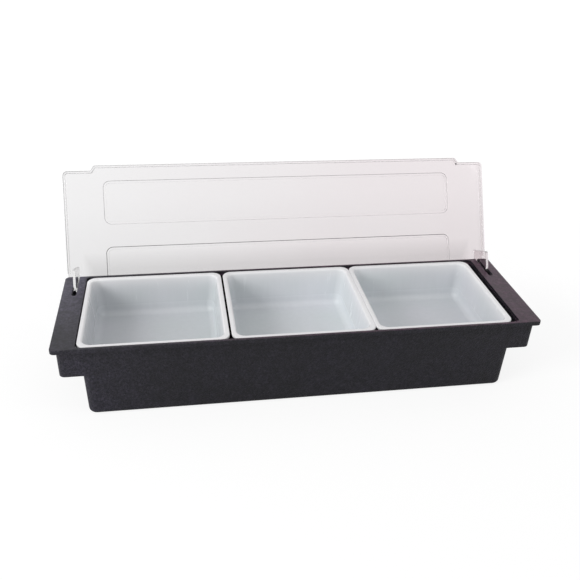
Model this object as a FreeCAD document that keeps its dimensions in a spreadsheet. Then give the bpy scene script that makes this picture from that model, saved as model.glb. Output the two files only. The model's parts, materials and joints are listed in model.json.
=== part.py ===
import FreeCAD, Part
import Sketcher
import math
import os

# Condiment dispenser: a black tray with three lift-out inserts and a clear hinged lid.
# Millimetres. +X runs along the length, the front faces -Y, and +Z is up.
# The origin is the centre of the footprint, on the surface that the tray stands on.

os.makedirs("parts", exist_ok=True)
doc = FreeCAD.newDocument("condiment_dispenser")

# Driving dimensions

sheet = doc.addObject("Spreadsheet::Sheet", "sizes")
SIZES = {
    # Inserts
    "insert_width": 118.4,
    "insert_depth": 110.8,
    "insert_height": 37.0,
    "insert_wall": 1.4,
    "insert_floor": 1.8,
    "insert_taper": 3.4,
    "insert_floor_round": 6.0,
    "pan_corner": 8.5,
    "lip_overhang": 2.8,
    "lip_thickness": 1.8,
    "lip_corner": 8.0,
    "lip_round": 0.7,
    "mouth_round": 1.8,
    # Tray
    "tray_wall": 2.0,
    "tray_floor": 3.0,
    "ice_room": 27.6,
    "play_left": 0.7,
    "gap_left": 1.7,
    "gap_right": 0.1,
    "play_right": 4.9,
    "seat_clearance": 0.5,
    "body_clearance": 0.4,
    "lip_sink": 0.4,
    "seat_corner": 4.0,
    "rim_height": 3.6,
    "rim_ridge": 2.6,
    "rim_corner": 4.0,
    "rim_round": 0.8,
    "deck_width": 18.7,
    "deck_thickness": 2.6,
    "grip_inset": 3.8,
    "grip_drop": 28.0,
    "grip_corner": 5.0,
    "end_lean": 4.8,
    "body_corner": 7.0,
    "foot_draft": 2.1,
    "end_draft": 0.9,
    "foot_round": 4.0,
    "foot_band": 9.0,
    "foot_recess": 1.2,
    # Hinge
    "hinge_setback": 8.4,
    "hinge_drop": 6.0,
    "pin_diameter": 4.6,
    "pin_clearance": 0.05,
    "pin_recess": 0.3,
    "boss_radius": 5.0,
    "ear_inset": 10.4,
    "ear_thickness": 2.2,
    "ear_clearance": 0.6,
    "ear_reach": 28.0,
    "ear_root": 18.0,
    "ear_tip": 15.5,
    "ear_heel": 1.2,
    "ear_tip_round": 1.4,
    "ear_heel_round": 3.5,
    "slot_front": 25.6,
    "slot_round": 1.4,
    "slot_drop": 16.5,
    "passage_drop": 11.8,
    # Lid
    "lid_plate": 2.2,
    "lid_skirt": 4.2,
    "lid_skirt_wall": 2.0,
    "lid_gap": 0.3,
    "lid_side_inset": 1.5,
    "lid_rear_inset": 1.2,
    "lid_corner": 4.0,
    "tongue_inset": 0.2,
    "tongue_depth": 4.6,
    "tongue_side": 24.2,
    "tongue_slant": 3.4,
    "tongue_round": 1.5,
    "skirt_rear_end": 12.0,
    "bead_height": 1.4,
    "bead_width": 1.6,
    "panel_side": 34.4,
    "panel_front": 9.0,
    "panel_rear": 10.5,
    "panel_depth": 39.2,
    "panel_gap": 21.0,
    "panel_relief": 1.6,
    "panel_corner": 6.0,
    "lid_open_angle": 118.2,
}
for row, (alias, value) in enumerate(SIZES.items(), start=1):
    sheet.set(f"A{row}", alias)
    sheet.set(f"B{row}", str(value))
    sheet.setAlias(f"B{row}", alias)
doc.recompute()


def sized(text):
    """Turn a formula of size names into one that reads the sheet."""
    words = []
    for word in text.replace("(", " ( ").replace(")", " ) ").split():
        words.append(f"sizes.{word}" if word in SIZES else word)
    return " ".join(words)


def value_of(text):
    """The number that a formula gives at the sheet's present sizes."""
    return float(sheet.evalExpression(sized(text)))


# Tolerances for finding edges and for checking that a feature did something

SAME_PLACE = 0.01
NEAR_FOOT = 1.0
LEAST_VOLUME = 0.001

# Sizes that follow from the driving ones, as formulas

WELL_LENGTH = "( 3 * insert_width + play_left + gap_left + gap_right + play_right )"
TRAY_HEIGHT = "( tray_floor + ice_room + insert_height + lip_sink )"
SEAT_DEPTH = "( insert_depth + 2 * seat_clearance )"
SEAT_DROP = "( lip_thickness + lip_sink )"
WELL_DEPTH = "( insert_depth - 2 * lip_overhang + 2 * body_clearance )"
RIM_LENGTH = f"( {WELL_LENGTH} + 2 * deck_width )"
RIM_DEPTH = f"( {SEAT_DEPTH} + 2 * rim_ridge )"
RIM_UNDERSIDE = f"( {TRAY_HEIGHT} - rim_height )"
GRIP_BOTTOM = f"( {TRAY_HEIGHT} - grip_drop )"
DECK_UNDERSIDE = f"( {TRAY_HEIGHT} - deck_thickness )"
GRIP_HALF = f"( {RIM_LENGTH} / 2 - grip_inset )"
BODY_HALF_DEPTH = f"( {WELL_DEPTH} / 2 + tray_wall )"
FOOT_HALF_DEPTH = f"( {BODY_HALF_DEPTH} - foot_draft )"
SHOULDER_HALF_DEPTH = (f"( {BODY_HALF_DEPTH} - foot_draft * ( {RIM_UNDERSIDE} - {GRIP_BOTTOM} )"
                       f" / {RIM_UNDERSIDE} )")
SHOULDER_HALF = f"( {WELL_LENGTH} / 2 + tray_wall - end_lean )"
FOOT_HALF = f"( {SHOULDER_HALF} - end_draft )"
HINGE_Y = f"( {RIM_DEPTH} / 2 - hinge_setback )"
HINGE_Z = f"( {TRAY_HEIGHT} - hinge_drop )"
EAR_MIDDLE = f"( {RIM_LENGTH} / 2 - ear_inset )"
SLOT_HALF = "( ear_thickness / 2 + ear_clearance )"
LID_UNDERSIDE = "( hinge_drop + lid_gap + lid_skirt )"


# Sketches

def plane_of(body, role):
    """One of a body's own origin planes, found by its role."""
    return next(item for item in body.Origin.OriginFeatures if item.Role == role)


def new_sketch(body, name, role, offset):
    """An empty sketch on one of the body's planes, raised along its normal by a formula."""
    sketch = body.newObject("Sketcher::SketchObject", name)
    sketch.AttachmentSupport = [(plane_of(body, role), "")]
    sketch.MapMode = "FlatFace"
    sketch.AttachmentOffset = FreeCAD.Placement(
        FreeCAD.Vector(0, 0, value_of(offset)), FreeCAD.Rotation())
    sketch.setExpression("AttachmentOffset.Base.z", sized(offset))
    return sketch


def bind_distance(sketch, kind, geometry, point, formula):
    """Hold one point of a sketch at a signed distance from the sketch's origin."""
    value = value_of(formula)
    ends = (-1, 1, geometry, point) if value >= 0 else (geometry, point, -1, 1)
    signed = formula if value >= 0 else f"-1 * {formula}"
    index = sketch.addConstraint(Sketcher.Constraint(kind, *ends, abs(value)))
    sketch.setExpression(f"Constraints[{index}]", sized(signed))


def bind_radius(sketch, geometry, formula):
    """Hold the radius of an arc or circle at a formula."""
    index = sketch.addConstraint(Sketcher.Constraint("Radius", geometry, value_of(formula)))
    sketch.setExpression(f"Constraints[{index}]", sized(formula))


def draw_chain(sketch, corners, radii):
    """Draw a closed outline through corners, each a pair of formulas, with rounded corners.

    A radius of None leaves the corner sharp. Every corner is held at its place by a
    construction point, so the outline follows the sheet.
    """
    points = [FreeCAD.Vector(value_of(a), value_of(b), 0) for a, b in corners]
    count = len(points)
    trims = []
    for index, radius in enumerate(radii):
        before = (points[index - 1] - points[index]).normalize()
        after = (points[(index + 1) % count] - points[index]).normalize()
        trim = 0.0
        if radius is not None:
            trim = value_of(radius) / math.tan(before.getAngle(after) / 2)
        trims.append((before, after, trim))
    lines = []
    for index in range(count):
        start = points[index] + trims[index][1] * trims[index][2]
        following = (index + 1) % count
        end = points[following] + trims[following][0] * trims[following][2]
        lines.append(sketch.addGeometry(Part.LineSegment(start, end), False))
    for index, radius in enumerate(radii):
        arriving = lines[index - 1]
        leaving = lines[index]
        if radius is None:
            sketch.addConstraint(Sketcher.Constraint("Coincident", arriving, 2, leaving, 1))
            bind_distance(sketch, "DistanceX", leaving, 1, corners[index][0])
            bind_distance(sketch, "DistanceY", leaving, 1, corners[index][1])
            continue
        before, after, trim = trims[index]
        apex = sketch.addGeometry(Part.Point(points[index]), True)
        bind_distance(sketch, "DistanceX", apex, 1, corners[index][0])
        bind_distance(sketch, "DistanceY", apex, 1, corners[index][1])
        sketch.addConstraint(Sketcher.Constraint("PointOnObject", apex, 1, arriving))
        sketch.addConstraint(Sketcher.Constraint("PointOnObject", apex, 1, leaving))
        size = value_of(radius)
        middle = points[index] + (before + after).normalize() * (
            size / math.sin(before.getAngle(after) / 2))
        start = points[index] + before * trim
        end = points[index] + after * trim
        turn = (start - middle).cross(end - middle).z
        circle = Part.Circle(middle, FreeCAD.Vector(0, 0, 1), size)
        first, last = (start, end) if turn > 0 else (end, start)
        arc = sketch.addGeometry(
            Part.ArcOfCircle(circle, circle.parameter(first), circle.parameter(last)), False)
        arc_start, arc_end = (1, 2) if turn > 0 else (2, 1)
        sketch.addConstraint(Sketcher.Constraint("Tangent", arriving, 2, arc, arc_start))
        sketch.addConstraint(Sketcher.Constraint("Tangent", arc, arc_end, leaving, 1))
        bind_radius(sketch, arc, radius)


def box_sketch(body, name, offset, left, right, front, rear, corner=None, role="XY_Plane"):
    """A rectangle, square or round at its corners, with each side at a formula."""
    sketch = new_sketch(body, name, role, offset)
    corners = [(left, front), (right, front), (right, rear), (left, rear)]
    draw_chain(sketch, corners, [corner] * 4)
    return sketch


def centred_sketch(body, name, offset, half_length, half_depth, corner):
    """A rounded rectangle about the body's axis."""
    return box_sketch(body, name, offset, f"-1 * {half_length}", half_length,
                      f"-1 * {half_depth}", half_depth, corner)


# Features

def loft(body, kind, name, first, second):
    """A straight-sided loft between two sketches, added or taken away."""
    feature = body.newObject(f"PartDesign::{kind}Loft", name)
    feature.Profile = first
    feature.Sections = [second]
    feature.Ruled = True
    doc.recompute()
    return feature


def extrude(body, kind, name, sketch, length, reverse=False):
    """A pad or pocket whose length follows a formula, and that must change the volume."""
    before = body.Shape.Volume if body.Shape and not body.Shape.isNull() else 0.0
    feature = body.newObject(f"PartDesign::{kind}", name)
    feature.Profile = sketch
    feature.Length = value_of(length)
    feature.setExpression("Length", sized(length))
    feature.Reversed = reverse
    doc.recompute()
    if abs(feature.Shape.Volume - before) < LEAST_VOLUME:
        raise RuntimeError(f"{name} changed nothing")
    return feature


def mirror(body, name, feature):
    """The same feature on the other side of the body's YZ plane."""
    copy = body.newObject("PartDesign::Mirrored", name)
    copy.Originals = [feature]
    copy.MirrorPlane = (plane_of(body, "YZ_Plane"), [""])
    body.Tip = copy
    doc.recompute()
    return copy


def edges_where(feature, test):
    """Names of the edges whose bounding box passes a test."""
    return [f"Edge{index}" for index, edge in enumerate(feature.Shape.Edges, start=1)
            if test(edge.BoundBox)]


def fillet(body, name, feature, radius, test):
    """Round the edges that pass a test."""
    names = edges_where(feature, test)
    if not names:
        raise RuntimeError(f"{name} found no edge")
    rounding = body.newObject("PartDesign::Fillet", name)
    rounding.Base = (feature, names)
    rounding.Radius = value_of(radius)
    rounding.setExpression("Radius", sized(radius))
    doc.recompute()
    return rounding


def lies_at(box, height):
    """Whether an edge lies flat at one height."""
    return abs(box.ZMin - height) < SAME_PLACE and abs(box.ZMax - height) < SAME_PLACE


# Tray

def build_tray():
    """Rim and decks over a tapered tub, with hollow grips and hinge slots at the ends."""
    body = doc.addObject("PartDesign::Body", "tray_body")
    body.Label = "tray"
    foot = centred_sketch(body, "foot_outline", "0", FOOT_HALF, FOOT_HALF_DEPTH, "body_corner")
    shoulder = centred_sketch(body, "shoulder_outline", GRIP_BOTTOM, SHOULDER_HALF,
                              SHOULDER_HALF_DEPTH, "body_corner")
    loft(body, "Additive", "tub", foot, shoulder)
    grip_foot = centred_sketch(body, "grip_outline", GRIP_BOTTOM, GRIP_HALF,
                               SHOULDER_HALF_DEPTH, "grip_corner")
    grip_head = centred_sketch(body, "grip_head_outline", RIM_UNDERSIDE, GRIP_HALF,
                               BODY_HALF_DEPTH, "grip_corner")
    loft(body, "Additive", "grip_walls", grip_foot, grip_head)
    rim_outline = centred_sketch(body, "rim_outline", RIM_UNDERSIDE, f"( {RIM_LENGTH} / 2 )",
                                 f"( {RIM_DEPTH} / 2 )", "rim_corner")
    extrude(body, "Pad", "rim", rim_outline, "rim_height")

    # The well narrows to the shoulder, then runs on down to the floor.
    inner_corner = "( body_corner - tray_wall )"
    floor = centred_sketch(body, "well_floor", "tray_floor", f"( {FOOT_HALF} - tray_wall )",
                           f"( {FOOT_HALF_DEPTH} - tray_wall )", inner_corner)
    waist = centred_sketch(body, "well_waist", GRIP_BOTTOM, f"( {SHOULDER_HALF} - tray_wall )",
                           f"( {SHOULDER_HALF_DEPTH} - tray_wall )", inner_corner)
    loft(body, "Subtractive", "well_lower", floor, waist)
    waist_again = centred_sketch(body, "well_waist_upper", GRIP_BOTTOM,
                                 f"( {SHOULDER_HALF} - tray_wall )",
                                 f"( {SHOULDER_HALF_DEPTH} - tray_wall )", inner_corner)
    mouth = centred_sketch(body, "well_mouth", TRAY_HEIGHT, f"( {WELL_LENGTH} / 2 )",
                           f"( {WELL_DEPTH} / 2 )", inner_corner)
    loft(body, "Subtractive", "well_upper", waist_again, mouth)
    seat = centred_sketch(body, "seat_outline", TRAY_HEIGHT, f"( {WELL_LENGTH} / 2 )",
                          f"( {SEAT_DEPTH} / 2 )", "seat_corner")
    extrude(body, "Pocket", "lip_seat", seat, SEAT_DROP)

    # Each end grip is a hollow shell, open below, behind the leaning end wall of the well.
    grip_inner = f"( {GRIP_HALF} - tray_wall )"
    lean_at_deck = (f"( {WELL_LENGTH} / 2 + tray_wall - end_lean * ( deck_thickness )"
                    " / grip_drop )")
    hollow_foot = box_sketch(body, "hollow_foot", GRIP_BOTTOM, SHOULDER_HALF, grip_inner,
                             f"-1 * ( {SHOULDER_HALF_DEPTH} - tray_wall )",
                             f"( {SHOULDER_HALF_DEPTH} - tray_wall )")
    hollow_head = box_sketch(body, "hollow_head", DECK_UNDERSIDE, lean_at_deck, grip_inner,
                             f"-1 * ( {BODY_HALF_DEPTH} - tray_wall )",
                             f"( {BODY_HALF_DEPTH} - tray_wall )")
    hollow = loft(body, "Subtractive", "grip_hollow", hollow_foot, hollow_head)
    mirror(body, "grip_hollow_left", hollow)

    # A slot in each deck lets an ear of the lid swing, and is open at the rear.
    slot_left = f"( {EAR_MIDDLE} - {SLOT_HALF} )"
    slot_right = f"( {EAR_MIDDLE} + {SLOT_HALF} )"
    past_rear = f"( {RIM_DEPTH} / 2 + tray_wall )"
    slot_end = f"( {HINGE_Y} - slot_front )"
    slot_outline = new_sketch(body, "slot_outline", "XY_Plane", TRAY_HEIGHT)
    draw_chain(slot_outline,
               [(slot_left, slot_end), (slot_right, slot_end), (slot_right, past_rear),
                (slot_left, past_rear)],
               ["slot_round", "slot_round", None, None])
    slot = extrude(body, "Pocket", "ear_slot", slot_outline, "slot_drop")
    mirror(body, "ear_slot_left", slot)

    # Below the rim the rear wall opens as far as the end wall, to let the pin in.
    passage_outline = box_sketch(body, "passage_outline", RIM_UNDERSIDE, slot_left, grip_inner,
                                 HINGE_Y, past_rear)
    passage = extrude(body, "Pocket", "pin_passage", passage_outline,
                      "( passage_drop - rim_height )")
    mirror(body, "pin_passage_left", passage)

    hole_sketch = new_sketch(body, "pin_hole_outline", "YZ_Plane", grip_inner)
    centre = FreeCAD.Vector(value_of(HINGE_Y), value_of(HINGE_Z), 0)
    bore = "( pin_diameter / 2 + pin_clearance )"
    circle = hole_sketch.addGeometry(
        Part.Circle(centre, FreeCAD.Vector(0, 0, 1), value_of(bore)), False)
    bind_distance(hole_sketch, "DistanceX", circle, 3, HINGE_Y)
    bind_distance(hole_sketch, "DistanceY", circle, 3, HINGE_Z)
    bind_radius(hole_sketch, circle, bore)
    hole = extrude(body, "Pocket", "pin_hole", hole_sketch, "tray_wall", reverse=True)
    mirror(body, "pin_hole_left", hole)

    # The tray stands on a flat band and a middle bar, with a shallow recess on each side.
    recess = box_sketch(body, "recess_outline", "0", "( foot_band / 2 )",
                        f"( {FOOT_HALF} - foot_band )", f"-1 * ( {FOOT_HALF_DEPTH} - foot_band )",
                        f"( {FOOT_HALF_DEPTH} - foot_band )", "( body_corner / 2 )")
    recess_right = extrude(body, "Pocket", "foot_recess", recess, "foot_recess", reverse=True)
    recessed = mirror(body, "foot_recess_left", recess_right)

    tray_top = value_of(TRAY_HEIGHT)
    half_length = value_of(f"{RIM_LENGTH} / 2")
    half_depth = value_of(f"{RIM_DEPTH} / 2")

    def on_rim(box):
        at_end = abs(max(box.XMax, -box.XMin) - half_length) < SAME_PLACE
        at_side = abs(max(box.YMax, -box.YMin) - half_depth) < SAME_PLACE
        return lies_at(box, tray_top) and (at_end or at_side)

    rim = fillet(body, "rim_edge", recessed, "rim_round", on_rim)
    outer_half = value_of(FOOT_HALF)
    outer_depth = value_of(FOOT_HALF_DEPTH)

    def on_foot(box):
        outside = (max(box.XMax, -box.XMin) > outer_half - NEAR_FOOT
                   or max(box.YMax, -box.YMin) > outer_depth - NEAR_FOOT)
        return lies_at(box, 0.0) and outside

    fillet(body, "foot_edge", rim, "foot_round", on_foot)
    return body


# Inserts

def build_insert(name, order, gaps):
    """A tapered pan with a flat lip, set in the row by its order and the gaps to its left."""
    body = doc.addObject("PartDesign::Body", f"{name}_body")
    body.Label = name
    half_width = "( insert_width / 2 - lip_overhang )"
    half_depth = "( insert_depth / 2 - lip_overhang )"
    lip_foot = "( insert_height - lip_thickness )"
    base = centred_sketch(body, f"{name}_base", "0", f"( {half_width} - insert_taper )",
                          f"( {half_depth} - insert_taper )", "pan_corner")
    neck = centred_sketch(body, f"{name}_neck", lip_foot, half_width, half_depth, "pan_corner")
    loft(body, "Additive", f"{name}_pan", base, neck)
    lip = centred_sketch(body, f"{name}_lip_outline", lip_foot, "( insert_width / 2 )",
                         "( insert_depth / 2 )", "lip_corner")
    extrude(body, "Pad", f"{name}_lip", lip, "lip_thickness")

    slope = "( insert_taper * insert_floor / ( insert_height - lip_thickness ) )"
    floor = centred_sketch(body, f"{name}_floor", "insert_floor",
                           f"( {half_width} - insert_taper + {slope} - insert_wall )",
                           f"( {half_depth} - insert_taper + {slope} - insert_wall )",
                           "( pan_corner - insert_wall )")
    mouth = centred_sketch(body, f"{name}_mouth", "insert_height",
                           f"( {half_width} - insert_wall )", f"( {half_depth} - insert_wall )",
                           "( pan_corner - insert_wall )")
    hollow = loft(body, "Subtractive", f"{name}_hollow", floor, mouth)
    inside = fillet(body, f"{name}_floor_edge", hollow, "insert_floor_round",
                    lambda box: lies_at(box, SIZES["insert_floor"]))
    outside = fillet(body, f"{name}_foot_edge", inside, "( insert_floor_round + insert_wall )",
                     lambda box: lies_at(box, 0.0))
    neck_width = value_of(half_width)
    neck_depth = value_of(half_depth)

    def overhangs(box):
        return (max(box.XMax, -box.XMin) > neck_width
                or max(box.YMax, -box.YMin) > neck_depth)

    def on_mouth(box):
        return lies_at(box, SIZES["insert_height"]) and not overhangs(box)

    def on_lip(box):
        return lies_at(box, SIZES["insert_height"]) and overhangs(box)

    mouth_edge = fillet(body, f"{name}_mouth_edge", outside, "mouth_round", on_mouth)
    fillet(body, f"{name}_lip_edge", mouth_edge, "lip_round", on_lip)

    place_x = f"-1 * {WELL_LENGTH} / 2 + {gaps} + insert_width / 2 + {order} * insert_width"
    place_z = "tray_floor + ice_room"
    body.Placement = FreeCAD.Placement(
        FreeCAD.Vector(value_of(place_x), 0, value_of(place_z)), FreeCAD.Rotation())
    body.setExpression("Placement.Base.x", sized(place_x))
    body.setExpression("Placement.Base.z", sized(place_z))
    return body


# Lid

def build_lid():
    """A clear plate with long panels, a short skirt, a front tongue and two hinge ears.

    It is drawn closed, with the hinge axis as its own X axis, and placed open on its pins.
    """
    body = doc.addObject("PartDesign::Body", "lid_body")
    body.Label = "lid"
    half = f"( {RIM_LENGTH} / 2 - lid_side_inset )"
    rear = "( hinge_setback - lid_rear_inset )"
    front = f"( hinge_setback - {RIM_DEPTH} + tongue_inset + tongue_depth )"
    tongue_front = f"( {front} - tongue_depth )"
    tongue_root = f"( {half} - tongue_side )"
    tongue_half = f"( {tongue_root} - tongue_slant )"
    skirt_foot = "( hinge_drop + lid_gap )"

    # The tongue steps out of the front edge over most of the length, with slanted ends.
    outline = new_sketch(body, "lid_outline", "XY_Plane", skirt_foot)
    draw_chain(outline,
               [(f"-1 * {half}", front), (f"-1 * {tongue_root}", front),
                (f"-1 * {tongue_half}", tongue_front), (tongue_half, tongue_front),
                (tongue_root, front), (half, front), (half, rear), (f"-1 * {half}", rear)],
               ["lid_corner", "tongue_round", "tongue_round", "tongue_round", "tongue_round",
                "lid_corner", "lid_corner", "lid_corner"])
    extrude(body, "Pad", "lid_block", outline, "( lid_skirt + lid_plate )")

    inner_half = f"( {half} - lid_skirt_wall )"
    inner_corner = "( lid_corner - lid_skirt_wall )"
    slant_length = "( tongue_slant ^ 2 + tongue_depth ^ 2 ) ^ 0.5"
    slant_shift = f"( lid_skirt_wall * ( {slant_length} - tongue_slant ) / tongue_depth )"
    inner_root = f"( {tongue_root} - {slant_shift} )"
    inner_tongue = f"( {tongue_half} - {slant_shift} )"
    inner_front = f"( {front} + lid_skirt_wall )"
    inner_tongue_front = f"( {tongue_front} + lid_skirt_wall )"
    inner_rear = f"( {rear} - bead_width )"
    inside = new_sketch(body, "lid_inside", "XY_Plane", LID_UNDERSIDE)
    draw_chain(inside,
               [(f"-1 * {inner_half}", inner_front), (f"-1 * {inner_root}", inner_front),
                (f"-1 * {inner_tongue}", inner_tongue_front),
                (inner_tongue, inner_tongue_front), (inner_root, inner_front),
                (inner_half, inner_front), (inner_half, inner_rear),
                (f"-1 * {inner_half}", inner_rear)],
               [inner_corner, None, None, None, None, inner_corner, None, None])
    extrude(body, "Pocket", "skirt_inside", inside, "lid_skirt")

    # The skirt stops short of the hinge, and only a low bead follows the rear edge.
    trim = box_sketch(body, "rear_trim", f"( {LID_UNDERSIDE} - bead_height )",
                      f"-1 * ( {half} + lid_skirt_wall )", f"( {half} + lid_skirt_wall )",
                      "-1 * skirt_rear_end", f"( {rear} + lid_skirt_wall )")
    extrude(body, "Pocket", "rear_relief", trim, "lid_skirt")
    side_trim = box_sketch(body, "side_trim", LID_UNDERSIDE, inner_half,
                           f"( {half} + lid_skirt_wall )", "-1 * skirt_rear_end", inner_rear)
    side_relief = extrude(body, "Pocket", "side_relief", side_trim, "lid_skirt")
    mirror(body, "side_relief_left", side_relief)

    # Two long panels stand proud of the top and are hollow underneath.
    panel_half = f"( {half} - panel_side )"
    front_near = f"( {front} + panel_front )"
    front_far = f"( {front_near} + panel_depth )"
    rear_near = f"( {front_far} + panel_gap )"
    rear_far = f"( {rear} - panel_rear )"
    for label, near, far in (("front_panel", front_near, front_far),
                             ("rear_panel", rear_near, rear_far)):
        raised = box_sketch(body, f"{label}_outline", f"( {LID_UNDERSIDE} + lid_plate )",
                            f"-1 * {panel_half}", panel_half, near, far, "panel_corner")
        extrude(body, "Pad", label, raised, "panel_relief")
        sunk = box_sketch(body, f"{label}_inside", LID_UNDERSIDE,
                          f"-1 * ( {panel_half} - lid_plate )", f"( {panel_half} - lid_plate )",
                          f"( {near} + lid_plate )", f"( {far} - lid_plate )",
                          "( panel_corner - lid_plate )")
        extrude(body, "Pocket", f"{label}_hollow", sunk, "panel_relief", reverse=True)

    # Each ear is a flat plate below the lid, with a round boss about the hinge axis.
    ear = new_sketch(body, "ear_outline", "YZ_Plane",
                     f"( {EAR_MIDDLE} - ear_thickness / 2 )")
    reach = f"( {LID_UNDERSIDE} - ear_reach )"
    draw_chain(ear,
               [("-1 * ear_root", LID_UNDERSIDE), ("-1 * ear_tip", reach), ("ear_heel", reach),
                ("ear_heel", "0"), ("boss_radius", "0"), ("boss_radius", LID_UNDERSIDE)],
               [None, "ear_tip_round", "ear_heel_round", None, None, None])
    ear_plate = extrude(body, "Pad", "ear", ear, "ear_thickness")
    mirror(body, "ear_left", ear_plate)
    boss_outline = new_sketch(body, "boss_outline", "YZ_Plane",
                              f"( {EAR_MIDDLE} - ear_thickness / 2 )")
    boss_circle = boss_outline.addGeometry(
        Part.Circle(FreeCAD.Vector(0, 0, 0), FreeCAD.Vector(0, 0, 1), SIZES["boss_radius"]), False)
    boss_outline.addConstraint(Sketcher.Constraint("Coincident", boss_circle, 3, -1, 1))
    bind_radius(boss_outline, boss_circle, "boss_radius")
    boss = extrude(body, "Pad", "boss", boss_outline, "ear_thickness")
    mirror(body, "boss_left", boss)
    pin_outline = new_sketch(body, "pin_outline", "YZ_Plane",
                             f"( {EAR_MIDDLE} + ear_thickness / 2 )")
    pin_circle = pin_outline.addGeometry(
        Part.Circle(FreeCAD.Vector(0, 0, 0), FreeCAD.Vector(0, 0, 1),
                    value_of("pin_diameter / 2")), False)
    pin_outline.addConstraint(Sketcher.Constraint("Coincident", pin_circle, 3, -1, 1))
    bind_radius(pin_outline, pin_circle, "( pin_diameter / 2 )")
    pin = extrude(body, "Pad", "pin", pin_outline,
                  "( ear_inset - grip_inset - ear_thickness / 2 - pin_recess )")
    mirror(body, "pin_left", pin)

    turn = FreeCAD.Rotation(FreeCAD.Vector(1, 0, 0), -SIZES["lid_open_angle"])
    body.Placement = FreeCAD.Placement(
        FreeCAD.Vector(0, value_of(HINGE_Y), value_of(HINGE_Z)), turn)
    body.setExpression("Placement.Base.y", sized(HINGE_Y))
    body.setExpression("Placement.Base.z", sized(HINGE_Z))
    body.setExpression("Placement.Rotation.Angle", sized("lid_open_angle"))
    body.setExpression("Placement.Rotation.Axis.x", "-1")
    return body


insert_gaps = (("left", "play_left"), ("middle", "gap_left"), ("right", "gap_right"))
pieces = [build_tray()]
room = "0"
for order, (side, gap) in enumerate(insert_gaps):
    room = f"{room} + {gap}"
    pieces.append(build_insert(f"insert_{side}", order, room))
pieces.append(build_lid())
doc.recompute()

for item in doc.Objects:
    if "Invalid" in item.State or "Error" in item.State:
        raise RuntimeError(f"{item.Name} failed: {item.State}")
for piece in pieces:
    shape = piece.Shape
    if shape.isNull() or not shape.isValid() or len(shape.Solids) != 1:
        raise RuntimeError(f"{piece.Label} is not one valid solid")
for piece in pieces:
    piece.Shape.exportStep(f"parts/{piece.Label}.step")
    box = piece.Shape.BoundBox
    print(f"{piece.Label}: {piece.Shape.Volume / 1000:.1f} cm3, "
          f"x {box.XMin:.1f}..{box.XMax:.1f}, y {box.YMin:.1f}..{box.YMax:.1f}, "
          f"z {box.ZMin:.1f}..{box.ZMax:.1f}")
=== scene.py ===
import json
import math

import bpy
from mathutils import Matrix, Vector

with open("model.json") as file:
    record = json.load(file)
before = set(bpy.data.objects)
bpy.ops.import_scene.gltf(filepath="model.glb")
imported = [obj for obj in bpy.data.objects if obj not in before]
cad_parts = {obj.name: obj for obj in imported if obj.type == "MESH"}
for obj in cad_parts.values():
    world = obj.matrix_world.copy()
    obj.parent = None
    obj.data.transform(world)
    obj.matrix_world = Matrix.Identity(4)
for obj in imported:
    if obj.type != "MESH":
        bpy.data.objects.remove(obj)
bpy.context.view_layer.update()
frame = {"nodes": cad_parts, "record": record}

# Condiment dispenser: a black textured tray, three glossy white inserts and a clear lid.
# Metres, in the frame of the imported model: +X along the length, the front faces -Y, +Z up.
# Colours are linear, and scales of textures are in cycles per metre.


# Shader helpers

class Material:
    """A node material with a Principled shader, and short ways to add nodes to it."""

    def __init__(self, name):
        self.data = bpy.data.materials.new(name)
        self.data.use_nodes = True
        self.nodes = self.data.node_tree.nodes
        self.links = self.data.node_tree.links
        self.shader = self.nodes["Principled BSDF"]


def feed(tree, source, socket):
    """Put a number or colour on a socket, or link another socket to it."""
    if isinstance(source, bpy.types.NodeSocket):
        tree.links.new(source, socket)
    else:
        socket.default_value = source


def calculate(tree, operation, *values):
    """The result of one operation on numbers, each a link or a constant."""
    node = tree.nodes.new("ShaderNodeMath")
    node.operation = operation
    for value, socket in zip(values, node.inputs):
        feed(tree, value, socket)
    return node.outputs["Value"]


def product(tree, first, second):
    """One value times another."""
    return calculate(tree, "MULTIPLY", first, second)


def larger(tree, first, second):
    """The larger of two values."""
    return calculate(tree, "MAXIMUM", first, second)


def absolute(tree, value):
    """A value without its sign."""
    return calculate(tree, "ABSOLUTE", value)


def ramp(tree, value, low, high, first, last):
    """First up to low, last from high on, and an even climb between them."""
    node = tree.nodes.new("ShaderNodeMapRange")
    feed(tree, value, node.inputs["Value"])
    feed(tree, low, node.inputs["From Min"])
    feed(tree, high, node.inputs["From Max"])
    feed(tree, first, node.inputs["To Min"])
    feed(tree, last, node.inputs["To Max"])
    return node.outputs["Result"]


def split(tree, vector):
    """The outputs X, Y and Z of a vector."""
    node = tree.nodes.new("ShaderNodeSeparateXYZ")
    tree.links.new(vector, node.inputs["Vector"])
    return node.outputs


def dot_with(tree, vector, direction):
    """How far a vector points along a fixed direction."""
    node = tree.nodes.new("ShaderNodeVectorMath")
    node.operation = "DOT_PRODUCT"
    node.inputs[1].default_value = direction
    tree.links.new(vector, node.inputs[0])
    return node.outputs["Value"]


def scaled(tree, vector, factor):
    """A colour or vector times a value."""
    node = tree.nodes.new("ShaderNodeVectorMath")
    node.operation = "SCALE"
    tree.links.new(vector, node.inputs["Vector"])
    tree.links.new(factor, node.inputs["Scale"])
    return node.outputs["Vector"]


def blend(tree, factor, first, second):
    """Two colours or vectors, each a link or three numbers, mixed by a factor."""
    node = tree.nodes.new("ShaderNodeMix")
    node.data_type = "RGBA"
    tree.links.new(factor, node.inputs["Factor"])
    for source, socket in ((first, node.inputs["A"]), (second, node.inputs["B"])):
        feed(tree, (*source, 1.0) if isinstance(source, tuple) else source, socket)
    return node.outputs["Result"]


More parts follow.
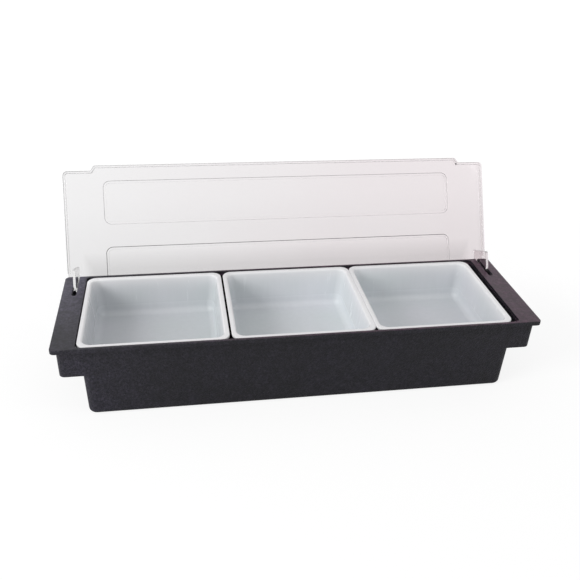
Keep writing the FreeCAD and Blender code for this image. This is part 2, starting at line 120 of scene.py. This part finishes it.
def noise(tree, place, scale, detail=3.0, roughness=0.55):
    """A noise texture over object coordinates."""
    node = tree.nodes.new("ShaderNodeTexNoise")
    node.inputs["Scale"].default_value = scale
    node.inputs["Detail"].default_value = detail
    node.inputs["Roughness"].default_value = roughness
    tree.links.new(place, node.inputs["Vector"])
    return node.outputs["Fac"]


def bump(tree, height, distance, strength, normal=None):
    """A bump of the given depth in metres, laid over another one where given."""
    node = tree.nodes.new("ShaderNodeBump")
    node.inputs["Distance"].default_value = distance
    node.inputs["Strength"].default_value = strength
    tree.links.new(height, node.inputs["Height"])
    if normal is not None:
        tree.links.new(normal, node.inputs["Normal"])
    return node.outputs["Normal"]


# Materials

# Most of a noise texture's values lie in this range.
NOISE_SPREAD = (0.3, 0.7)


def black_plastic():
    """Injection-moulded black plastic: coarse texture on the walls, satin on the flat tops."""
    wall_colours = ((0.005, 0.005, 0.009), (0.024, 0.021, 0.031))
    cool_colours = ((0.017, 0.015, 0.025), (0.047, 0.043, 0.062))
    warm_colours = ((0.041, 0.012, 0.031), (0.079, 0.035, 0.064))
    left_end, left_light_end, left_light_gain = -0.20, -0.10, 2.3
    deck_outside, deck_inside = -0.184, -0.178
    reflection_front, reflection_rear, reflection_levels = -0.035, 0.030, (0.9, 3.0)
    cool_until, warm_from = -0.17, 0.05
    top_slopes = (0.80, 0.97)
    grain_scale, speckle_scale, mottle_scale, patch_scale = 560.0, 480.0, 180.0, 22.0
    speckle_spread, mottle_spread = (0.40, 0.68), (0.35, 0.65)
    worn_levels, cloud_levels = (0.55, 1.0), (0.8, 1.25)
    wall_roughness, top_smoothing = (0.46, 0.58), 0.62
    pebble_depth, speckle_depth, satin_depth = 0.0014, 0.0009, 0.0002
    specular_level = 0.34

    material = Material("black_plastic")
    coordinates = material.nodes.new("ShaderNodeTexCoord")
    place = coordinates.outputs["Object"]
    axes = split(material, place)
    facing = split(material, coordinates.outputs["Normal"])
    flat_top = ramp(material, facing["Z"], *top_slopes, 0.0, 1.0)

    grain = material.nodes.new("ShaderNodeTexVoronoi")
    grain.inputs["Scale"].default_value = grain_scale
    material.links.new(place, grain.inputs["Vector"])
    speckle = noise(material, place, speckle_scale, detail=4.0, roughness=0.75)
    mottle = noise(material, place, mottle_scale, roughness=0.6)
    patches = noise(material, place, patch_scale)
    tone = ramp(material, speckle, *speckle_spread, 0.0, 1.0)

    # Painted light: the walls are painted lighter towards the left end. The flat tops are painted
    # lighter than the walls, for the light from above; they are cool on the left and warm on the
    # right, and the rear of the left deck is painted paler, a painted reflection.
    wall = blend(material, tone, *wall_colours)
    wall = scaled(material, wall, ramp(material, axes["X"], left_end, left_light_end, left_light_gain, 1.0))
    # Painted reflection: the rear of the left deck is painted paler.
    rearward = ramp(material, axes["Y"], reflection_front, reflection_rear, 0.0, 1.0)
    left_deck = ramp(material, axes["X"], deck_outside, deck_inside, 1.0, 0.0)
    painted_reflection = ramp(material, product(material, rearward, left_deck), 0.0, 1.0, *reflection_levels)
    cool_top = scaled(material, blend(material, tone, *cool_colours), painted_reflection)
    warm_top = blend(material, tone, *warm_colours)
    warmth = ramp(material, axes["X"], cool_until, warm_from, 0.0, 1.0)
    top = blend(material, warmth, cool_top, warm_top)
    worn = ramp(material, mottle, *mottle_spread, *worn_levels)
    clouds = ramp(material, patches, *NOISE_SPREAD, *cloud_levels)
    # Painted light: the flat tops take lighter colours than the walls, for the light that falls
    # from above.
    colour = scaled(material, blend(material, flat_top, wall, top),
                    product(material, worn, clouds))
    feed(material, colour, material.shader.inputs["Base Color"])

    rough_wall = ramp(material, patches, *NOISE_SPREAD, *wall_roughness)
    smoothing = ramp(material, flat_top, 0.0, 1.0, 1.0, top_smoothing)
    feed(material, product(material, rough_wall, smoothing), material.shader.inputs["Roughness"])
    pebbles = bump(material, grain.outputs["Distance"], pebble_depth, strength=0.6)
    fine = bump(material, speckle, speckle_depth, strength=0.6, normal=pebbles)
    satin = bump(material, speckle, satin_depth, strength=0.5)
    feed(material, blend(material, flat_top, fine, satin), material.shader.inputs["Normal"])
    material.shader.inputs["Specular IOR Level"].default_value = specular_level
    return material


def white_plastic():
    """Glossy white plastic, with painted shade that greys it down in the pan, below the whiter
    lip.
    """
    shaded_pan_colours = ((0.66, 0.700, 0.712), (0.705, 0.718, 0.755))
    lip_colours = ((0.91, 0.905, 0.925), (0.94, 0.935, 0.945))
    shade_bottom, shade_top = 0.045, 0.067
    floor_heights, floor_roughness = (0.036, 0.050), (0.38, 0.15)
    wall_roughness = (0.15, 0.28)
    patch_scale, streak_scale, wave_scale = 14.0, 230.0, 35.0
    streak_levels, wave_depth = (0.985, 1.015), 0.0012
    # Painted light and shade along the row: each stretch of X scales the pans' colour from one
    # value to another.
    light_stretches = ((-0.18, -0.06, 0.90, 0.98), (-0.06, 0.05, 1.0, 1.16), (0.05, 0.12, 1.0, 0.87))
    streak_squeeze = (1.0, 1.0, 0.12)

    material = Material("white_plastic")
    place = material.nodes.new("ShaderNodeTexCoord").outputs["Object"]
    axes = split(material, place)
    patches = noise(material, place, patch_scale)
    tone = ramp(material, patches, *NOISE_SPREAD, 0.0, 1.0)
    stretched = material.nodes.new("ShaderNodeMapping")
    stretched.inputs["Scale"].default_value = streak_squeeze
    material.links.new(place, stretched.inputs["Vector"])
    streaks = noise(material, stretched.outputs["Vector"], streak_scale)

    pan = blend(material, tone, *shaded_pan_colours)
    # Painted light and shade, lighter towards the middle pan's right wall and darker at the ends
    # of the row.
    for light_stretch in light_stretches:
        pan = scaled(material, pan, ramp(material, axes["X"], *light_stretch))
    pan = scaled(material, pan, ramp(material, streaks, *NOISE_SPREAD, *streak_levels))
    lip = blend(material, tone, *lip_colours)
    # Painted shade: from the lip down into the pan the colour greys, for the shade inside the pan.
    shade_fade = ramp(material, axes["Z"], shade_bottom, shade_top, 0.0, 1.0)
    sharp_shade_fade = product(material, shade_fade, product(material, shade_fade, shade_fade))
    feed(material, blend(material, sharp_shade_fade, pan, lip), material.shader.inputs["Base Color"])

    glossy_wall = ramp(material, streaks, *NOISE_SPREAD, *wall_roughness)
    satin_floor = ramp(material, axes["Z"], *floor_heights, *floor_roughness)
    feed(material, larger(material, glossy_wall, satin_floor),
         material.shader.inputs["Roughness"])
    waves = noise(material, place, wave_scale, detail=1.0)
    feed(material, bump(material, waves, wave_depth, strength=0.25),
         material.shader.inputs["Normal"])
    return material


def clear_plastic(outward, towards_front, plate_level):
    """Clear moulded plastic, warmer to the right, painted darker near the hinge, with painted
    light and shade at its steps.

    The two directions are those of the lid as it stands: out of its top face, and along it
    from the hinge to the front edge. The plate's top face lies at plate_level along outward.
    """
    left_colour, right_colour = (0.865, 0.860, 0.865), (0.81, 0.755, 0.77)
    cool_until, warm_from, colour_drift = -0.10, 0.22, 0.16
    cast_scale, mark_scale, wave_scale = 9.0, 140.0, 18.0
    mark_spread = (0.3, 0.8)
    hinge_shade_heights, hinge_shade_levels = (0.068, 0.083), (0.80, 0.99)
    lower_shade_heights, lower_shade_levels = (0.075, 0.125), (0.94, 1.0)
    unshaded_ends, unshaded_level = (0.135, 0.185), 0.99
    top_margin = (0.0005, 0.0003)
    front_share, left_share = 0.8, 0.6
    shade_slopes, shade_turns = (0.0, 0.4), (0.02, 0.16)
    light_slopes, light_turns = (0.05, 0.40), (-0.03, -0.20)
    shade_heights = (0.090, 0.125)
    left_edge, left_edge_shade = (-0.186, -0.178), 0.35
    side_shade, away_gain = 0.92, 1.20
    polish = (0.03, 0.10)
    frost_heights, frost = (0.095, 0.115), (0.90, 0.30)
    frost_turns, lit_frost, flatness = (0.0, 0.10), 0.30, (0.90, 0.98)
    wave_depth, ior = 0.0004, 1.49

    material = Material("clear_plastic")
    coordinates = material.nodes.new("ShaderNodeTexCoord")
    place = coordinates.outputs["Object"]
    normal = coordinates.outputs["Normal"]
    axes = split(material, place)

    cast = noise(material, place, cast_scale, detail=2.0)
    drift = calculate(material, "MULTIPLY_ADD", cast, colour_drift, axes["X"])
    tone = ramp(material, drift, cool_until, warm_from, 0.0, 1.0)
    plate = blend(material, tone, left_colour, right_colour)
    # Painted shade: the plate is darker low down near the hinge, less so towards its ends, and a
    # little darker up to mid height.
    hinge_shade = ramp(material, axes["Z"], *hinge_shade_heights, *hinge_shade_levels)
    endward = ramp(material, absolute(material, axes["X"]), *unshaded_ends, 0.0, unshaded_level)
    lower_shade = ramp(material, axes["Z"], *lower_shade_heights, *lower_shade_levels)
    painted_shade = product(material, larger(material, hinge_shade, endward), lower_shade)
    plate = scaled(material, plate, painted_shade)

    # Painted light and shade: a step of the top face is painted darker where it turns to the front
    # and the left, more so near the hinge, and painted lighter where it turns away. A ray that
    # leaves the plastic meets the normal turned about, so the signs are set right by the side of
    # the plate.
    leftward = Vector((-left_share, 0.0, 0.0))
    shaded_side = (Vector(towards_front) * front_share + leftward).normalized()
    level = dot_with(material, place, outward)
    top_side = ramp(material, level, *(plate_level - margin for margin in top_margin), 0.0, 1.0)
    upright = dot_with(material, normal, outward)
    upper = absolute(material, upright)
    side = ramp(material, top_side, 0.0, 1.0, -1.0, 1.0)
    true_sign = product(material, calculate(material, "SIGN", upright), side)
    turned = product(material, dot_with(material, normal, shaded_side), true_sign)
    darkest = product(material, ramp(material, axes["Z"], *shade_heights, 0.0, 1.0),
                      ramp(material, axes["X"], *left_edge, left_edge_shade, 1.0))
    depth = ramp(material, upper, *shade_slopes, side_shade, darkest)
    shaded = ramp(material, turned, *shade_turns, 1.0, depth)
    brightest = ramp(material, upper, *light_slopes, 1.0, away_gain)
    lit = ramp(material, turned, *light_turns, 1.0, brightest)
    steps = ramp(material, top_side, 0.0, 1.0, 1.0, product(material, shaded, lit))
    feed(material, scaled(material, plate, steps), material.shader.inputs["Base Color"])

    # The flat faces are polished, and the rounded edges between them are a little frosted,
    # more so near the hinge and on the shaded side.
    marks = noise(material, place, mark_scale, detail=5.0)
    polished = ramp(material, marks, *mark_spread, *polish)
    flat = upper
    for direction in (towards_front, (1.0, 0.0, 0.0)):
        flat = larger(material, flat, absolute(material, dot_with(material, normal, direction)))
    dullness = ramp(material, axes["Z"], *frost_heights, *frost)
    shaded_share = ramp(material, turned, *frost_turns, lit_frost, 1.0)
    rounded = ramp(material, flat, *flatness, 1.0, 0.0)
    frosted = product(material, rounded, product(material, dullness, shaded_share))
    feed(material, larger(material, polished, frosted), material.shader.inputs["Roughness"])
    waves = noise(material, place, wave_scale, detail=1.0)
    feed(material, bump(material, waves, wave_depth, strength=0.10),
         material.shader.inputs["Normal"])
    material.shader.inputs["Transmission Weight"].default_value = 1.0
    material.shader.inputs["IOR"].default_value = ior
    return material


# Carried-over nodes

def soften(node, width):
    """Round a node's sharp edges a little, so that they catch the light.

    Triangles that lie in one plane are merged first. Otherwise the thinnest of them would
    hold the rounding back to nothing, since the bevel is kept from overlapping itself.
    """
    same_point = 1e-6
    same_plane = math.radians(0.5)
    sharp_from = math.radians(35.0)
    weld = node.modifiers.new("weld", "WELD")
    weld.merge_threshold = same_point
    flats = node.modifiers.new("merged_flats", "DECIMATE")
    flats.decimate_type = "DISSOLVE"
    flats.angle_limit = same_plane
    edge = node.modifiers.new("edge_rounding", "BEVEL")
    edge.width = width
    edge.segments = 3
    edge.limit_method = "ANGLE"
    edge.angle_limit = sharp_from
    edge.use_clamp_overlap = True
    shading = node.modifiers.new("flat_shading", "WEIGHTED_NORMAL")
    shading.mode = "FACE_AREA"
    shading.weight = 80
    shading.keep_sharp = True


def finish_node(name, material):
    """Put one material on every slot of a node."""
    node = frame["nodes"][name]
    node.data.materials.clear()
    node.data.materials.append(material.data)
    return node


# The lid stands open at rest, turned by the hinge's whole range from where it lies flat.
lid_angle = math.radians(frame["record"]["behaviour"]["joints"][0]["range_deg"][1])
lid_outward = (0.0, math.sin(lid_angle), math.cos(lid_angle))
lid_front = (0.0, -math.cos(lid_angle), math.sin(lid_angle))
panel_relief = 0.0016
lid_rounding = 0.00036
lid_top = max(Vector(lid_outward).dot(vertex.co) for vertex in frame["nodes"]["lid"].data.vertices)

finish_node("tray", black_plastic())
white = white_plastic()
for side in ("left", "middle", "right"):
    finish_node(f"insert_{side}", white)
lid = finish_node("lid", clear_plastic(lid_outward, lid_front, lid_top - panel_relief))
soften(lid, lid_rounding)
lid.visible_shadow = False


# Stage

def seen_by(tree, kinds):
    """1 for rays of the given kinds and 0 for all others."""
    path = tree.nodes.new("ShaderNodeLightPath")
    value = path.outputs[kinds[0]]
    for kind in kinds[1:]:
        value = larger(tree, value, path.outputs[kind])
    return value


def studio(strength):
    """A world that shows as white and lights the object at a plain level."""
    world = bpy.data.worlds.new("studio")
    world.use_nodes = True
    bpy.context.scene.world = world
    tree = world.node_tree
    seen = seen_by(tree, ("Is Camera Ray", "Is Glossy Ray", "Is Transmission Ray"))
    background = tree.nodes["Background"]
    background.inputs["Color"].default_value = (1.0, 1.0, 1.0, 1.0)
    feed(tree, ramp(tree, seen, 0.0, 1.0, strength, 1.0), background.inputs["Strength"])


def floor():
    """A pale floor that shows as white, and keeps the object's soft shadow near the object."""
    half_size = 8.0
    shadow_reach = (0.30, 0.80)
    shadow_weight = 0.25
    glow = 1.10
    mesh = bpy.data.meshes.new("floor")
    corners = [(-half_size, -half_size, 0), (half_size, -half_size, 0),
               (half_size, half_size, 0), (-half_size, half_size, 0)]
    mesh.from_pydata(corners, [], [(0, 1, 2, 3)])
    plane = bpy.data.objects.new("floor", mesh)
    bpy.context.scene.collection.objects.link(plane)
    material = Material("floor")
    nodes, links, shader = material.nodes, material.links, material.shader
    shader.inputs["Base Color"].default_value = (0.90, 0.90, 0.90, 1.0)
    shader.inputs["Roughness"].default_value = 0.9
    shader.inputs["Specular IOR Level"].default_value = 0.0
    white_glow = nodes.new("ShaderNodeEmission")
    white_glow.inputs["Strength"].default_value = glow
    distance = nodes.new("ShaderNodeVectorMath")
    distance.operation = "LENGTH"
    links.new(nodes.new("ShaderNodeTexCoord").outputs["Object"], distance.inputs[0])
    weight = ramp(material, distance.outputs["Value"], *shadow_reach, shadow_weight, 0.0)
    seen = seen_by(material, ("Is Camera Ray", "Is Transmission Ray"))
    unseen = ramp(material, seen, 0.0, 1.0, 1.0, 0.0)
    mixed = nodes.new("ShaderNodeMixShader")
    links.new(larger(material, weight, unseen), mixed.inputs["Fac"])
    links.new(white_glow.outputs["Emission"], mixed.inputs[1])
    links.new(shader.outputs["BSDF"], mixed.inputs[2])
    links.new(mixed.outputs["Shader"], nodes["Material Output"].inputs["Surface"])
    mesh.materials.append(material.data)


def area_light(name, position, target, size, power):
    """A soft square lamp that faces a point."""
    data = bpy.data.lights.new(name, "AREA")
    data.size = size
    data.energy = power
    lamp = bpy.data.objects.new(name, data)
    lamp.location = position
    aim = Vector(target) - Vector(position)
    lamp.rotation_euler = aim.to_track_quat("-Z", "Y").to_euler()
    bpy.context.scene.collection.objects.link(lamp)


def camera():
    """A camera fitted to the photograph's outlines."""
    position = (-0.0991, -0.5142, 0.3765)
    image_size = 580.0
    focal_pixels = 700.0
    azimuth = math.radians(10.24)
    elevation = math.radians(29.82)
    roll = math.radians(2.26)
    data = bpy.data.cameras.new("camera")
    data.sensor_width = 36.0
    data.lens = data.sensor_width * focal_pixels / image_size
    forward = Vector((math.sin(azimuth) * math.cos(elevation),
                      math.cos(azimuth) * math.cos(elevation), -math.sin(elevation)))
    level = Vector((math.cos(azimuth), -math.sin(azimuth), 0.0))
    upright = level.cross(forward)
    right = level * math.cos(roll) + upright * math.sin(roll)
    up = upright * math.cos(roll) - level * math.sin(roll)
    turn = Matrix((right, up, -forward)).transposed().to_4x4()
    viewer = bpy.data.objects.new("camera", data)
    viewer.matrix_world = Matrix.Translation(position) @ turn
    bpy.context.scene.collection.objects.link(viewer)
    bpy.context.scene.camera = viewer


bpy.context.scene.view_settings.view_transform = "Standard"
camera()
studio(strength=0.53)
floor()
middle = (0.0, 0.0, 0.05)
area_light("key", (-1.15, -0.55, 0.75), middle, size=0.6, power=9.0)
area_light("fill", (0.60, -0.30, 0.55), middle, size=0.4, power=0.6)
